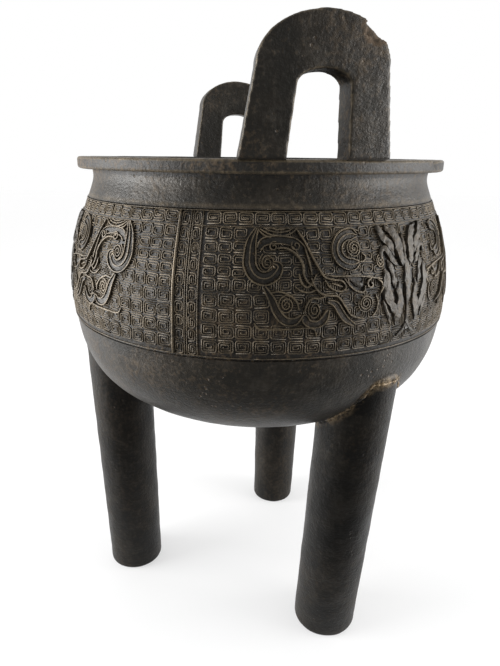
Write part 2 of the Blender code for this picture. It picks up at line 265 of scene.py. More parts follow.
# Where the bowl is marked, as depths under the rim's top and radii
zones = {
    "skin": 0.0015, "grooveEdge": 0.0004, "underLipShadow": (0.0040, 0.0062), "neckRadius": 0.073, "mouth": 0.0002,
    "lipFace": (0.0007, 0.0046), "lipFaceRadius": 0.0785, "lipEdge": 0.0008, "lipEdgeWidth": 0.0030,
    "lipFoot": (0.0038, 0.0050), "lipFootWidth": 0.0012, "ledgeUp": 0.0010, "ledgeHalfWidth": 0.0005,
}


def makeBowl():
    piece = turned("bowl", bowlOutline(), bowl["turnSteps"])
    roughen(piece, bowl["unevenness"], bowl["unevenSize"], bowl["seed"])
    spots = places(piece)
    radius = np.hypot(spots[:, 0], spots[:, 1])
    turn = np.degrees(np.arctan2(spots[:, 0], -spots[:, 1]))
    depth = rimHeight - spots[:, 2]
    edge = (depth < bowl["nickTo"]) * (radius > bowl["nickFrom"])
    for azimuth, width, bite in bowl["nicks"]:
        near = np.exp(-((turn - azimuth) / width) ** 2) * edge
        spots[:, 0] -= bite * near * np.sin(np.radians(turn))
        spots[:, 1] += bite * near * np.cos(np.radians(turn))
        spots[:, 2] -= bite * bowl["nickDrop"] * near
    putPlaces(piece, spots)
    z = zones
    outer = radius > np.interp(depth, wallDepths, wallRadii) - z["skin"]
    # The frieze ground's darkening is painted shade in the hollows together with dirt; painted light makes it
    # lighter on the flanks.
    groundShadeShare = 1.0 - 0.35 * flankPaintedLight(turn)
    band = (bowl["friezeTop"] - z["grooveEdge"], bowl["friezeFoot"] + z["grooveEdge"])
    ground = outer & between(depth, band)
    # The band under the lip is darkened as a painted shadow.
    underLipShadow = between(depth, z["underLipShadow"]) & (radius > z["neckRadius"])
    inside = ~outer & (radius < bowl["mouthRadius"] + z["mouth"])
    lipFace = between(depth, z["lipFace"]) & (radius > z["lipFaceRadius"])
    mark(piece, "dirtAndShade", groundShadeShare * ground + 0.9 * underLipShadow + 0.25 * inside + 0.7 * lipFace)
    lipEdge = (depth < z["lipEdge"]) & (radius > bowl["rimRadius"] - z["lipEdgeWidth"])
    lipFoot = between(depth, z["lipFoot"]) & (radius > bowl["rimRadius"] - z["lipFootWidth"])
    ledges = outer & (abs(depth - bowl["friezeTop"] + z["ledgeUp"]) < z["ledgeHalfWidth"])
    mark(piece, "wornAndLit", 0.7 * lipEdge + 0.35 * ledges + 0.5 * lipFoot)
    mark(piece, "stain", 0.7 * outer * nearJoints(spots))
    smoothBy(piece, 35)
    return piece


# The legs

legs = {
    "front": {"azimuth": 37.7, "footReach": 0.0587, "footRadius": 0.0145},
    "left": {"azimuth": -83.7, "footReach": 0.0672, "footRadius": 0.0137},
    "rear": {"azimuth": 166.5, "footReach": 0.0538, "footRadius": 0.0125},
}
legForm = {"topReach": 0.0694, "topRadius": 0.0154, "topDepth": 0.0770, "topRound": 0.0045, "topSteps": 6,
           "footRound": 0.0016, "footSteps": 5, "sides": 96, "rings": 90, "buried": 0.0018,
           "unevenness": 0.00016, "unevenSize": 0.009, "seed": 2, "footDarkening": 0.6, "footDarkeningReach": 0.004}


def makeLeg(name, azimuth, footReach, footRadius):
    f = legForm
    top = rimHeight - f["topDepth"]
    outline = [(0.0, top)]
    for k in range(f["topSteps"] + 1):
        turn = math.radians(90 - 90 * k / f["topSteps"])
        outline.append((f["topRadius"] - f["topRound"] + f["topRound"] * math.cos(turn),
                        top - f["topRound"] + f["topRound"] * math.sin(turn)))
    high, low = top - f["topRound"], f["footRound"]
    for k in range(1, f["rings"]):
        t = k / f["rings"]
        outline.append((f["topRadius"] + (footRadius - f["topRadius"]) * t, high + (low - high) * t))
    for k in range(f["footSteps"] + 1):
        turn = math.radians(-90 * k / f["footSteps"])
        outline.append((footRadius - low + low * math.cos(turn), low + low * math.sin(turn)))
    outline.append((footRadius * 0.5, 0.0))
    outline.append((0.0, 0.0))
    piece = turned(name, outline, f["sides"])
    roughen(piece, f["unevenness"], f["unevenSize"], f["seed"] + azimuth * 0.1)
    spots = places(piece)
    spots[:, 2] = np.maximum(spots[:, 2], 0.0)
    reach = footReach + (f["topReach"] - footReach) * spots[:, 2] / top
    spots[:, 0] += reach * math.sin(math.radians(azimuth))
    spots[:, 1] -= reach * math.cos(math.radians(azimuth))
    depth = rimHeight - spots[:, 2]
    radius = np.hypot(spots[:, 0], spots[:, 1])
    within = np.interp(depth, wallDepths, wallRadii) - f["buried"]
    outward = np.where((depth < wallDepths[-1]) & (radius < within), within / np.maximum(radius, 1e-6), 1.0)
    spots[:, :2] *= outward[:, None]
    putPlaces(piece, spots)
    # Darker towards the foot.
    mark(piece, "dirtAndShade", f["footDarkening"] * np.exp(-spots[:, 2] / f["footDarkeningReach"]))
    mark(piece, "stain", 0.8 * nearJoints(spots))
    smoothBy(piece, 50)
    return piece


bead = {"halfWidth": 0.00055, "ragged": 0.9, "thinnest": 0.15, "points": 150, "halvings": 24, "seed": 5,
        "unevenness": 0.00022, "unevenSize": 0.0011, "unevenSeed": 9, "stainReach": 0.005, "stainEvery": 3}


def legJoint(azimuth, footReach, footRadius):  # where the leg's skin meets the belly, all round
    f = legForm
    top = rimHeight - f["topDepth"]
    side = math.radians(azimuth)
    joint = []
    for k in range(bead["points"]):
        turn = 2 * math.pi * k / bead["points"]
        low, high = 0.0, top - f["topRound"]
        for _ in range(bead["halvings"]):
            z = (low + high) / 2
            radius = footRadius + (f["topRadius"] - footRadius) * z / top
            reach = footReach + (f["topReach"] - footReach) * z / top
            x = reach * math.sin(side) + radius * math.cos(turn)
            y = -reach * math.cos(side) + radius * math.sin(turn)
            depth = rimHeight - z
            wall = float(np.interp(depth, wallDepths, wallRadii))
            outside = depth > wallDepths[-1] or math.hypot(x, y) > wall
            low, high = (z, high) if outside else (low, z)
        joint.append((x, y, z))
    return joint


def makeBead(name, joint):  # ragged residue left along a leg's joint
    draw = random.Random(bead["seed"] + len(name))
    path = []
    for place in joint:
        path.append((*place, max(bead["thinnest"], 1.0 + bead["ragged"] * draw.uniform(-1, 1)), 0.0))
    wire = {"dimensions": "3D", "bevel_depth": bead["halfWidth"], "bevel_resolution": 2}
    piece = drawn(name, wire, [path], True)
    roughen(piece, bead["unevenness"], bead["unevenSize"], bead["unevenSeed"])
    tidyNormals(piece)
    mark(piece, "dirtAndShade", 0.2)
    mark(piece, "stain", 1.0)
    bpy.ops.object.shade_smooth()
    return piece


def nearJoints(spots):  # 1 on a leg's joint, fading to 0 away from it
    closest = np.full(len(spots), 1.0)
    for leg in legs.values():
        for place in legJoint(**leg)[::bead["stainEvery"]]:
            closest = np.minimum(closest, np.linalg.norm(spots - np.array(place), axis=1))
    return np.exp(-closest / bead["stainReach"])


# The loop handles

def handleOutline(openingHeight):
    h = handle
    openingShoulder = openingHeight - h["openingCrown"]

    def crown(halfWidth, shoulder, top, sign):
        points = []
        for k in range(h["crownPoints"]):
            turn = math.pi * k / (h["crownPoints"] - 1)
            points.append((sign * halfWidth * math.cos(turn), shoulder + (top - shoulder) * math.sin(turn)))
        return points

    outer = h["halfWidth"] - h["taper"] * h["shoulder"]
    inner = h["openingHalfWidth"] - h["openingTaper"] * openingShoulder
    outline = [(h["openingHalfWidth"], -h["root"]), (h["halfWidth"], -h["root"]), (h["halfWidth"], 0.0)]
    outline += crown(outer, h["shoulder"], h["height"], 1)
    outline += [(-h["halfWidth"], 0.0), (-h["halfWidth"], -h["root"]), (-h["openingHalfWidth"], -h["root"])]
    outline += [(-h["openingHalfWidth"], 0.0)]
    outline += crown(inner, openingShoulder, openingHeight, -1)
    outline += [(h["openingHalfWidth"], 0.0)]
    return outline


def handlePlaces(azimuth, spots):  # bent half as much as the rim, and leaning out
    h = handle
    middle = math.radians(azimuth)
    back = bowl["rimRadius"] + h["proud"] - h["bendRadius"]
    radius = (h["bendRadius"] - h["thickness"] / 2 + spots[:, 2]
              + math.tan(math.radians(h["lean"])) * spots[:, 1])
    turn = middle + spots[:, 0] / h["bendRadius"]
    return np.stack([back * math.sin(middle) + radius * np.sin(turn),
                     -back * math.cos(middle) - radius * np.cos(turn), rimHeight + spots[:, 1]], axis=-1)


chip = {"across": 0.0152, "up": 0.0370, "inward": 0.0002, "size": (0.0043, 0.0034, 0.0022), "jagged": 0.45,
        "jagSize": 0.0019, "brownOut": 1.35, "dirtAndShade": 0.55, "wornAndLit": 0.25}


def makeHandle(name, azimuth, openingHeight, chipped):
    slab = {"dimensions": "2D", "fill_mode": "BOTH", "extrude": handle["thickness"] / 2}
    outline = [(x, y, 0.0, 1.0, 0.0) for x, y in handleOutline(openingHeight)]
    piece = drawn(name, slab, [outline], True)
    tidyNormals(piece)
    if chipped:
        deselectAll()
        middle = (chip["across"], chip["up"], handle["thickness"] / 2 - chip["inward"])
        bpy.ops.mesh.primitive_ico_sphere_add(subdivisions=4, radius=1.0, location=middle)
        bite = bpy.context.object
        bite.scale = chip["size"]
        bpy.ops.object.transform_apply(location=False, rotation=False, scale=True)
        for vertex in bite.data.vertices:
            vertex.co *= 1.0 + chip["jagged"] * noise.fractal(vertex.co / chip["jagSize"], 1.0, 2.0, 3)
        cut = piece.modifiers.new("chip", "BOOLEAN")
        cut.operation = "DIFFERENCE"
        cut.object = bite
        pick(piece)
        bpy.ops.object.modifier_apply(modifier=cut.name)
        bpy.data.objects.remove(bite, do_unlink=True)
    remesh = piece.modifiers.new("evenSkin", "REMESH")
    remesh.mode = "VOXEL"
    remesh.voxel_size = handle["voxel"]
    pick(piece)
    bpy.ops.object.modifier_apply(modifier=remesh.name)
    soften = piece.modifiers.new("soften", "SMOOTH")
    soften.iterations = 1
    soften.factor = handle["soften"]
    bpy.ops.object.modifier_apply(modifier=soften.name)
    roughen(piece, handle["unevenness"], handle["unevenSize"], handle["seed"] + azimuth * 0.1)
    spots = places(piece)
    up = spots[:, 1]
    # Darker towards the foot, where the handle meets the rim.
    dirtAndShade = handle["footDarkening"] * np.exp(-np.maximum(up, 0) / handle["footDarkeningReach"])
    normals = np.empty(len(spots) * 3)
    piece.data.vertices.foreach_get("normal", normals)
    facing = normals.reshape(-1, 3)
    corner = np.abs(facing[:, 2])
    inner = (corner < 0.5) & (np.abs(spots[:, 0]) < handle["innerHalfWidth"])
    inner &= up < openingHeight + handle["innerOver"]
    wornAndLit = handle["cornerWorn"] * between(corner, handle["cornerTurn"]) * (up > handle["cornerFrom"])
    # The faces inside the opening are darkened as painted shade.
    dirtAndShade = np.maximum(dirtAndShade, handle["innerShade"] * inner)
    if chipped:
        away = spots - np.array([chip["across"], chip["up"], handle["thickness"] / 2])
        broken = np.linalg.norm(away / np.array(chip["size"]), axis=1) < chip["brownOut"]
        dirtAndShade = np.where(broken, chip["dirtAndShade"], dirtAndShade)
        wornAndLit = np.where(broken, chip["wornAndLit"], wornAndLit)
        mark(piece, "raw", broken)
    putPlaces(piece, handlePlaces(azimuth, spots))
    spots = places(piece)
    spots[:, 2] = np.minimum(spots[:, 2], rimHeight + handle["height"])
    overhang = np.maximum(spots[:, 2] - rimHeight + handle["footFlare"], 0)
    most = bowl["rimRadius"] - 2 * handle["footFlare"] + handle["flareSlope"] * overhang
    spots[:, :2] *= np.minimum(most / np.hypot(spots[:, 0], spots[:, 1]), 1.0)[:, None]
    putPlaces(piece, spots)
    mark(piece, "dirtAndShade", dirtAndShade)
    mark(piece, "wornAndLit", wornAndLit)
    bpy.ops.object.shade_smooth()
    return piece


# The relief: each stroke is (out from the nose, up from the frieze's foot, half width) in mm

def arc(centre, across, tall, start, end, count, halfWidth):  # 0 points away from the nose, 90 up
    points = []
    for k in range(count):
        turn = math.radians(start + (end - start) * k / (count - 1))
        points.append((centre[0] + across * math.cos(turn), centre[1] + tall * math.sin(turn), halfWidth))
    return points


coilForm = {"pointsPerTurn": 9, "closing": 0.86}


def coil(centre, size, tall, start, turns, halfWidth):  # a round spiral running inwards
    points = []
    count = int(turns * coilForm["pointsPerTurn"]) + 1
    for k in range(count):
        t = k / (count - 1)
        turn = math.radians(start) - 2 * math.pi * turns * t
        reach = size * (1 - coilForm["closing"] * t)
        x, y = centre[0] + reach * math.cos(turn), centre[1] + reach * tall * math.sin(turn)
        points.append((x, y, halfWidth))
    return points


def tipped(points, tip=0.25):
    first, last = points[0][:2] + (tip,), points[-1][:2] + (tip,)
    return [first] + list(points[1:-1]) + [last]


# Each stroke is (lift, ridges, points). No ridges is a smooth lobe, 1 a thin raised line and more
# a low bed with that many lines along it.
mask = {
    "horn": (1.0, 3, [(58.4, 44.0, 0.5), (60.2, 39.6, 1.6)] + arc((55.8, 34.2), 4.9, 5.9, 0, -140, 7, 2.1)
             + [(51.2, 32.2, 1.4), (53.0, 33.2, 0.5)]),
    "hornHook": (0.9, 1, [(58.3, 43.8, 0.3), (56.0, 41.9, 0.4), (53.6, 41.1, 0.4)]),
    "hornCoil": (0.7, 1, coil((54.8, 33.3), 2.9, 1.1, 60, 2.5, 0.28)),
    "crescentOuter": (0.9, 1, [(57.4, 43.8, 0.3), (54.2, 42.2, 0.36), (50.6, 41.6, 0.38), (47.0, 42.2, 0.36),
                               (44.4, 43.8, 0.3)]),
    "crescentMiddle": (0.75, 1, [(55.9, 44.0, 0.2), (53.4, 43.1, 0.28), (50.6, 42.7, 0.3), (47.8, 43.1, 0.28),
                                 (45.9, 44.0, 0.2)]),
    "crescentInner": (0.7, 1, [(54.0, 44.1, 0.2), (50.6, 43.6, 0.28), (47.6, 44.1, 0.2)]),
    "neckBand": (1.0, 2, [(57.6, 37.6, 0.8), (56.2, 39.6, 1.2), (52.6, 40.4, 1.2), (48.6, 40.2, 1.2),
                          (45.4, 39.4, 1.4), (43.2, 37.2, 1.6)]),
    "knob": (1.2, 1, coil((52.6, 38.3), 1.7, 1.0, 120, 1.3, 0.34)),
    "secondKnob": (1.2, 1, coil((45.0, 38.6), 1.8, 1.0, 40, 1.3, 0.36)),
    "flankOuter": (1.35, 1, [(44.4, 43.4, 0.3), (42.2, 40.2, 0.46), (39.6, 35.4, 0.5), (37.5, 31.5, 0.5),
                             (35.6, 28.6, 0.46), (33.0, 27.6, 0.44), (29.6, 27.0, 0.44), (28.0, 25.2, 0.42),
                             (28.8, 23.8, 0.25)]),
    "jawOuter": (1.35, 1, [(40.2, 28.4, 0.3), (39.2, 26.0, 0.46), (37.3, 23.6, 0.5), (34.5, 22.5, 0.5),
                           (31.0, 22.0, 0.46), (28.5, 18.9, 0.46), (26.2, 15.5, 0.44), (23.2, 14.1, 0.42),
                           (21.0, 13.6, 0.25)]),
    "keel": (0.9, 1, [(58.8, 13.6, 0.25), (57.2, 11.7, 0.36), (52.0, 11.5, 0.38), (46.0, 11.6, 0.38),
                      (40.4, 11.7, 0.36), (38.4, 10.4, 0.32), (38.0, 8.4, 0.25)]),
    "flankInner": (1.25, 1, [(51.6, 37.8, 0.3), (48.5, 37.8, 0.46), (45.6, 36.4, 0.5), (43.8, 34.6, 0.55),
                             (42.6, 32.0, 0.5), (42.6, 29.4, 0.46), (41.2, 26.9, 0.46), (38.6, 25.5, 0.3)]),
    "flankRib": (0.9, 1, [(42.0, 38.4, 0.3), (41.0, 35.0, 0.5), (40.2, 31.8, 0.5), (39.8, 29.2, 0.3)]),
    "spur": (1.1, 1, [(44.2, 29.8, 0.25), (43.4, 27.0, 0.4), (41.6, 25.4, 0.45), (39.9, 26.8, 0.42),
                      (38.4, 29.4, 0.3)]),
    "spurLow": (1.0, 1, [(45.6, 25.8, 0.25), (43.4, 24.2, 0.4), (40.8, 23.8, 0.42), (38.2, 24.6, 0.3)]),
    "jawInner": (1.15, 2, [(34.4, 20.6, 0.4), (31.6, 19.4, 0.9), (29.8, 16.6, 1.0), (27.6, 13.8, 0.9),
                           (24.4, 11.6, 0.4)]),
    "claw": (1.15, 2, [(55.6, 25.6, 0.4), (53.2, 21.6, 1.0), (51.4, 17.4, 1.15), (48.8, 14.5, 1.25),
                       (45.6, 14.2, 1.1), (43.4, 16.0, 0.4)]),
    "clawTop": (0.95, 1, [(53.4, 23.9, 0.25), (50.2, 24.1, 0.38), (46.8, 22.6, 0.4), (44.8, 20.4, 0.38),
                          (44.2, 18.0, 0.25)]),
    "clawDrop": (0.75, 1, coil((48.4, 19.8), 2.9, 1.15, 130, 2.4, 0.28)),
    "pawOuter": (1.15, 2, tipped([(43.2, 15.4, 0.3)] + arc((38.8, 16.6), 3.8, 3.8, -20, -150, 5, 1.1)
                                 + [(34.2, 17.6, 0.6)], 0.4)),
    "pawTop": (1.1, 1, tipped([(42.3, 17.4, 0.3)] + arc((38.6, 18.2), 3.3, 3.7, 20, 110, 4, 0.42)
                              + [(34.6, 22.4, 0.4)], 0.3)),
    "pawDrop": (0.75, 1, coil((38.9, 17.9), 2.3, 1.4, 60, 2.2, 0.28)),
    "bead": (0.9, 1, coil((43.9, 21.0), 1.1, 1.0, 0, 0.9, 0.3)),
    "curl": (1.1, 3, tipped(arc((24.8, 36.9), 5.6, 4.9, 118, -118, 11, 1.8), 0.5)),
    "curlTop": (1.0, 1, [(21.0, 42.5, 0.25), (24.4, 43.5, 0.36), (28.0, 43.1, 0.36), (30.6, 41.6, 0.25)]),
    "curlLip": (1.0, 1, [(22.8, 32.8, 0.25), (20.4, 32.8, 0.4), (19.4, 34.2, 0.4), (20.6, 35.2, 0.25)]),
    "curlCoil": (0.7, 1, coil((23.6, 37.2), 2.9, 1.05, 60, 2.6, 0.28)),
    "brow": (1.0, 1, [(36.0, 29.4, 0.25), (32.0, 28.6, 0.36), (27.0, 28.4, 0.4), (21.0, 27.9, 0.4),
                      (16.0, 27.0, 0.36), (13.0, 26.4, 0.25)]),
    "leafFoot": (1.1, 1, [(35.4, 27.6, 0.25), (34.0, 25.4, 0.42), (31.8, 24.0, 0.44), (29.4, 23.6, 0.4),
                          (28.2, 24.6, 0.25)]),
    "leafHeart": (0.85, 1, [(33.0, 26.4, 0.2), (30.8, 25.7, 0.55), (29.0, 25.0, 0.2)]),
    "lidFoot": (1.1, 1, [(28.4, 27.6, 0.25), (26.2, 25.0, 0.42), (23.6, 23.2, 0.46), (21.0, 22.8, 0.42),
                         (20.3, 24.8, 0.25)]),
    "lidHeart": (0.9, 0, [(25.8, 27.0, 0.25), (23.6, 25.6, 0.9), (21.8, 25.2, 0.8), (21.0, 26.4, 0.3)]),
    "eyeRing": (1.15, 1, coil((17.9, 25.1), 1.9, 1.0, 90, 1.0, 0.45)),
    "innerCanthus": (1.1, 1, [(15.0, 26.4, 0.25), (13.4, 25.4, 0.45), (12.8, 23.4, 0.45),
                              (14.0, 21.6, 0.25)]),
    "cheekCoil": (0.75, 1, coil((19.8, 18.7), 3.2, 1.0, 20, 3.0, 0.28)),
    "cheekEar": (0.8, 1, [(15.8, 21.4, 0.25), (14.8, 18.6, 0.38), (15.4, 15.6, 0.36), (17.2, 13.8, 0.25)]),
    "noseCoil": (0.7, 1, coil((12.8, 32.2), 2.0, 1.2, 100, 2.2, 0.28)),
    "hook": (1.5, 0, [(12.8, 44.0, 0.7), (11.8, 41.8, 1.5), (10.6, 39.6, 1.4), (8.6, 38.2, 1.7),
                      (7.0, 36.0, 1.3), (6.2, 33.6, 0.5)]),
    "feather": (1.7, 0, [(9.2, 43.6, 0.5), (7.6, 42.2, 1.2), (5.4, 41.0, 1.9), (3.8, 37.8, 2.1),
                         (3.2, 34.4, 1.9), (2.4, 31.4, 1.3), (2.0, 29.6, 0.5)]),
    "cowl": (1.4, 0, [(12.6, 33.0, 0.4), (12.2, 35.4, 1.0), (10.6, 36.4, 1.2), (8.8, 35.0, 1.1),
                      (7.8, 33.0, 1.2), (6.2, 31.2, 1.0), (4.6, 30.0, 0.4)]),
    "whisker": (1.25, 0, [(9.6, 32.4, 0.4), (8.6, 30.2, 1.1), (7.6, 27.6, 1.0), (7.2, 24.8, 1.2),
                          (6.4, 22.4, 0.4)]),
    "cheek": (1.35, 0, [(11.6, 29.4, 0.6), (10.8, 27.2, 1.6), (11.2, 23.8, 1.9), (10.4, 20.6, 2.3),
                        (8.9, 17.6, 1.6), (7.6, 15.6, 1.7), (6.4, 13.0, 0.6)]),
    "muzzle": (1.25, 0, [(4.4, 24.6, 0.5), (4.9, 21.6, 1.3), (4.0, 18.2, 1.6), (4.8, 14.6, 2.0),
                         (5.6, 11.4, 1.5), (5.4, 8.8, 0.5)]),
    "jowl": (1.2, 0, [(12.4, 18.8, 0.4), (11.2, 15.6, 0.9), (9.6, 12.8, 0.8), (8.6, 9.8, 0.4)]),
    "noseFoot": (1.2, 0, [(0.2, 8.8, 0.7), (2.0, 6.4, 0.8), (4.8, 4.6, 0.4)]),
}
middle = {
    "noseRidge": (1.35, 0, [(0.0, 41.0, 0.3), (0.0, 37.6, 0.9), (0.0, 32.0, 1.1), (0.0, 26.0, 2.0),
                            (0.0, 21.0, 1.5), (0.0, 14.0, 0.8), (0.0, 9.6, 0.8), (0.0, 6.6, 1.3)]),
}
relief = {"lineHalfWidth": 0.33, "bedDrop": 0.45, "rootMm": 0.35, "sharpness": 14.0, "stepMm": 0.7,
          "lineRound": 1, "bedRound": 2, "lobeRound": 3, "lobeSharpness": 2.2,
          "lobeWave": 0.12, "waveTurn": 0.9, "waveShift": 5, "pitSize": 1.3, "pitDepth": 0.45,
          "pitShare": 0.1,
          "topFrom": 0.6, "sideDirtAndShade": 0.7, "lobeWorn": 0.12, "bedWorn": 0.0, "lineWorn": 0.9}


def railPath(points):
    spots = np.array(points, dtype=float)
    span = np.linalg.norm(np.diff(spots[:, :2], axis=0), axis=1).mean()
    return np.array(catmull(points, max(1, int(round(span / relief["stepMm"])))))


def sideways(path, share):  # the path moved sideways by a share of its half width
    along = np.gradient(path[:, :2], axis=0)
    along /= np.maximum(np.linalg.norm(along, axis=1, keepdims=True), 1e-9)
    moved = path.copy()
    moved[:, 0] += -along[:, 1] * share * path[:, 2]
    moved[:, 1] += along[:, 0] * share * path[:, 2]
    return moved


def makeRails(name, paths, roundness):  # rails in millimetres, flat on the XY plane; 0 is a square one
    widen, tilt = (1.0, 0.0) if roundness else (math.sqrt(2), math.radians(45))
    rail = {"dimensions": "3D", "twist_mode": "Z_UP", "bevel_depth": 1.0, "bevel_resolution": roundness,
            "use_fill_caps": True}
    spots = [[(out, up, 0.0, halfWidth * widen, tilt) for out, up, halfWidth in path] for path in paths]
    return drawn(name, rail, spots, False)


def raised(rails, lift, wornAndLit, sharpness=relief["sharpness"]):  # the rails' height as a lift off the wall
    spots = places(rails)
    rise = spots[:, 2]
    spots[:, 2] = np.where(rise > 0, lift * (1 - np.exp(-sharpness * np.maximum(rise, 0))),
                           np.where(rise < -1e-4, -relief["rootMm"], 0.0))
    high = spots[:, 2] > relief["topFrom"] * lift
    if sharpness < relief["sharpness"]:  # the broad lobes are eaten
        for k in np.nonzero(high)[0]:
            eaten = noise.noise(Vector((spots[k, 0], spots[k, 1], 0.0)) / relief["pitSize"])
            spots[k, 2] -= relief["pitDepth"] * max(eaten + relief["pitShare"], 0.0) * lift
    putPlaces(rails, spots)
    # The sides below the top are darkened: painted shade together with dirt.
    mark(rails, "dirtAndShade", np.where(high, 0.0, relief["sideDirtAndShade"]))
    mark(rails, "wornAndLit", wornAndLit * high)
    return rails


def flatRelief(name, strokes):  # a flat model of the strokes in millimetres, heights as lifts
    groups = {}
    for lift, ridges, points in strokes.values():
        path = railPath(points)
        raisedLine = (lift, relief["lineWorn"], relief["lineRound"])
        if ridges == 0:
            swing = relief["waveTurn"] * np.arange(len(path)) + relief["waveShift"] * path[0, 0]
            path[:, 2] *= 1 + relief["lobeWave"] * np.sin(swing)
            groups.setdefault((lift, relief["lobeWorn"], relief["lobeRound"]), []).append(path)
        elif ridges == 1:
            groups.setdefault(raisedLine, []).append(path)
        else:
            bed = (lift - relief["bedDrop"], relief["bedWorn"], relief["bedRound"])
            groups.setdefault(bed, []).append(path)
            for k in range(ridges):
                line = sideways(path, 2 * k / (ridges - 1) - 1)
                line[:, 2] = np.minimum(relief["lineHalfWidth"], path[:, 2])
                groups.setdefault(raisedLine, []).append(line)
    layers = []
    for (lift, wornAndLit, roundness), paths in groups.items():
        sharpness = relief["lobeSharpness"] if roundness == relief["lobeRound"] else relief["sharpness"]
        layers.append(raised(makeRails(name, paths, roundness), lift, wornAndLit, sharpness))
    return joinAll(layers, name)


def laid(flat, azimuth, side, across=0.0, up=0.0):  # a copy of a flat model wrapped on the wall
    copy = flat.copy()
    copy.data = flat.data.copy()
    bpy.context.scene.collection.objects.link(copy)
    spots = places(copy)
    putPlaces(copy, onWall(azimuth, across + side * spots[:, 0], up + spots[:, 1], spots[:, 2] * mm))
    return copy


def makeMasks():
    half = flatRelief("halfMask", mask)
    centre = flatRelief("noseRidge", middle)
    pieces = []
    for number, azimuth in enumerate(frieze["maskAzimuths"]):
        copies = [laid(half, azimuth, -1), laid(half, azimuth, 1), laid(centre, azimuth, 1)]
        piece = joinAll(copies, f"mask{number}")
        tidyNormals(piece)
        smoothBy(piece, 45)
        pieces.append(piece)
        print("mask", number, len(piece.data.polygons), "faces")
    for flat in (half, centre):
        bpy.data.objects.remove(flat, do_unlink=True)
    return pieces


# The ground: square spirals in rows under a border row, and upright ribs between the masks

# All in millimetres
spiral = {"halfWidth": 0.19, "pitch": 0.79, "lift": 0.42, "root": 0.25, "corner": 0.5, "outerCorners": 4,
          "columns": (5.1, 5.7), "narrowRows": 5, "gapAfterDivider": 0.5, "gapBeforeDivider": 0.6,
          "rows": (44.4, 40.1, 36.0, 32.2, 28.3, 23.4, 18.3, 13.0, 7.6, 2.2), "borderRow": (44.8, 49.2),
          "seed": 11, "warp": 0.16, "warpSize": 2.4, "swell": (0.96, 1.03), "tilt": 0.05,
          "liftShare": (0.62, 1.1),
          "buried": 0.5, "topDirt": 0.1, "flankLightOnShade": 0.65, "wornAndLit": 0.50, "wornPerMm": 0.004,
          "flankLightOnTops": 0.35, "flankLightOnGround": 0.25}
divider = {"rib": -4.6, "middle": 0.3, "groove": 5.1, "ribHalfWidth": 0.5, "lineHalfWidth": 0.24,
           "rowHeight": 4.7, "steps": 24, "ribLift": 0.8, "ribWorn": 0.9,
           "beforeMiddle": 0.5, "afterMiddle": 0.35, "beforeGroove": 0.8, "cellGap": 0.25, "ribGap": 0.55,
           "lineLift": 0.45, "lineWorn": 0.7, "ringHalfWidth": 0.2, "ringTurns": 200}


def spiralPath(width, height):  # a square spiral running inwards, its corners cut
    pitch, cut = spiral["pitch"], spiral["corner"]
    left, right, low, high = -width / 2, width / 2, -height / 2, height / 2
    corners = [(left, low)]
    while right - left > pitch * 0.45 and high - low > pitch * 0.45:
        corners += [(right, low), (right, high), (left, high)]
        low += pitch
        corners.append((left, low))
        left, right, high = left + pitch, right - pitch, high - pitch
    while len(corners) > 2 and math.dist(corners[-1], corners[-2]) < pitch * 0.4:
        corners.pop()
    path = [corners[0]]
    for k in range(1, len(corners) - 1):
        here = np.array(corners[k])
        if k <= spiral["outerCorners"]:
            for other in (corners[k - 1], corners[k + 1]):
                reach = np.array(other) - here
                length = np.linalg.norm(reach)
                path.append(tuple(here + reach / length * min(cut, length * 0.4)))
        else:
            path.append(tuple(here))
    path.append(corners[-1])
    return [(x, y, spiral["halfWidth"]) for x, y in path]


def spiralUnit(width, height):  # a flat model of one spiral within the given cell
    unit = makeRails("spiralUnit", [spiralPath(width - spiral["pitch"], height - spiral["pitch"])], 0)
    spots = places(unit)
    high = spots[:, 2] > 0
    spots[:, 2] = np.where(high, spiral["lift"], -spiral["root"])
    putPlaces(unit, spots)
    return unit


def laySpiral(unit, azimuth, across, up, draw):
    copy = laid(unit, azimuth, draw.choice((-1, 1)), across, up)
    fresh = places(unit).copy()
    fresh[:, 1] *= draw.choice((-1, 1))
    swell = draw.uniform(*spiral["swell"])
    tilt = draw.uniform(-spiral["tilt"], spiral["tilt"])
    x = fresh[:, 0] * swell + fresh[:, 1] * tilt
    y = fresh[:, 1] * swell - fresh[:, 0] * tilt
    shift = draw.uniform(0, 100)
    for k in range(len(fresh)):
        bend = noise.noise_vector(Vector((x[k], y[k], shift)) / spiral["warpSize"])
        x[k] += spiral["warp"] * bend.x
        y[k] += spiral["warp"] * bend.y
    lift = fresh[:, 2] * draw.uniform(*spiral["liftShare"])
    putPlaces(copy, onWall(azimuth, across + draw.choice((-1, 1)) * x, up + y, lift * mm))
    high = fresh[:, 2] > 0
    # pale is the share of painted light that makes the spirals paler on the frieze's flanks.
    pale = flankPaintedLight(azimuth + math.degrees(across * mm / frieze["radius"]))
    # The ground between the ridges is darkened as painted shade together with dirt; painted light lifts it on
    # the flanks.
    mark(copy, "dirtAndShade", np.where(high, spiral["topDirt"], 1.0 - spiral["flankLightOnShade"] * pale))
    # The ridge tops are lighter from wear, and on the flanks from painted light too.
    wornAndLit = spiral["wornAndLit"] + spiral["wornPerMm"] * up + spiral["flankLightOnTops"] * pale
    mark(copy, "wornAndLit", np.where(high, wornAndLit, spiral["flankLightOnGround"] * pale))
    return copy


